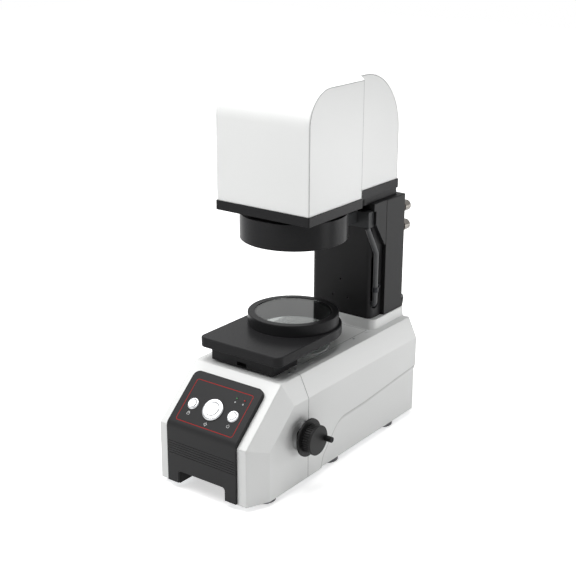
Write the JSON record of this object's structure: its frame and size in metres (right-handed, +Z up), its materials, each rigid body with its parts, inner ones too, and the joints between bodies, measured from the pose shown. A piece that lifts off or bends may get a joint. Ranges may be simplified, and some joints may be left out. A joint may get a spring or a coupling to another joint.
{
  "type": "profile projector",
  "caption": "Benchtop image measuring projector with a backlit glass stage raised by a handwheel, a ring light and a camera head on a rear column.",
  "frame": {"origin": "bottom centre of the machine's bounding box, on the feet's lower faces", "axes": "+Z up, +Y from the control fascia to the rear, +X towards the handwheel"},
  "size_m": [0.2454, 0.478, 0.6048],
  "materials": {
    "white_paint": "satin powder coat",
    "black_paint": "satin powder coat",
    "black_anodised": "fine satin anodised",
    "black_plastic": "fine textured",
    "rubber": "matt",
    "cable_skin": "matt",
    "conduit_skin": "satin",
    "steel": "ground",
    "chrome": "polished",
    "brass": "turned",
    "cast_aluminium": "as cast",
    "glass": "polished",
    "lens_coating": "coated",
    "diffuser": "opal",
    "circuit": "solder mask",
    "green_lens": "clear green",
    "red_lens": "clear red"
  },
  "bodies": {
    "machine": {"base_front_cover": "white_paint", "base_rear_housing": "white_paint", "base_plate": "steel", "feet": "rubber", "grip_liner": "black_plastic", "top_panel": "white_paint", "top_screws": "steel", "window_ring": "white_paint", "window_glass": "glass", "backlight_tube": "black_anodised", "condenser_lens": "lens_coating", "backlight_board": "circuit", "control_fascia": "black_plastic", "measure_bezel": "chrome", "small_bezels": "chrome", "button_nuts": "steel", "button_switches": "black_plastic", "led_green": "green_lens", "led_red": "red_lens", "panel_board": "circuit", "shaft_bushes": "brass", "lift_frame": "cast_aluminium", "linear_bushings": "steel", "power_supply": "cast_aluminium", "control_board": "circuit", "power_inlet": "black_plastic", "column_body": "black_paint", "column_cover": "black_paint", "arm_gussets": "black_paint", "head_arm": "black_paint", "head_plate": "black_anodised", "head_cover": "white_paint", "lens_barrel": "black_anodised", "lens_glass": "lens_coating", "camera": "black_anodised", "ring_housing": "black_anodised", "ring_board": "circuit", "ring_diffuser": "diffuser", "ring_carrier": "black_anodised", "conduit": "conduit_skin", "conduit_clip": "steel", "rear_cable": "cable_skin", "cable_grommets": "rubber", "rear_connectors": "chrome"},
    "stage": {"stage_block": "black_anodised", "stage_plate": "black_anodised", "glass_ring": "black_anodised", "stage_glass": "glass", "guide_rods": "steel", "rack": "steel"},
    "wheel": {"handwheel": "black_plastic", "crank_pin": "steel", "wheel_shaft": "steel", "pinion": "steel", "shaft_rings": "steel"},
    "crank_grip_body": {"crank_grip": "black_plastic"},
    "print_button_body": {"print_button": "chrome"},
    "measure_button_body": {"measure_button": "chrome"},
    "power_button_body": {"power_button": "chrome"}
  },
  "joints": [
    {"name": "stage_lift", "type": "slide", "parent": "machine", "child": "stage", "axis": [0, 0, 1], "range_m": [-0.0025, 0.0275]},
    {"name": "handwheel_turn", "type": "hinge", "parent": "machine", "child": "wheel", "pos_m": [0.0773, -0.1213, 0.0888], "axis": [1, 0, 0], "range_deg": [-12, 131.5]},
    {"name": "crank_grip_spin", "type": "hinge", "parent": "wheel", "child": "crank_grip_body", "pos_m": [0.1153, -0.10307, 0.0863], "axis": [1, 0, 0], "continuous": true},
    {"name": "print_button_press", "type": "slide", "parent": "machine", "child": "print_button_body", "axis": [0, 0.6641, -0.7476], "range_m": [0, 0.002], "stiffness_N_per_m": 500, "springref_m": -0.003},
    {"name": "measure_button_press", "type": "slide", "parent": "machine", "child": "measure_button_body", "axis": [0, 0.6641, -0.7476], "range_m": [0, 0.002], "stiffness_N_per_m": 500, "springref_m": -0.003},
    {"name": "power_button_press", "type": "slide", "parent": "machine", "child": "power_button_body", "axis": [0, 0.6641, -0.7476], "range_m": [0, 0.002], "stiffness_N_per_m": 500, "springref_m": -0.003}
  ],
  "couplings": [
    {"joint": "handwheel_turn", "follows": "stage_lift", "rad_per_m": 83.333}
  ]
}
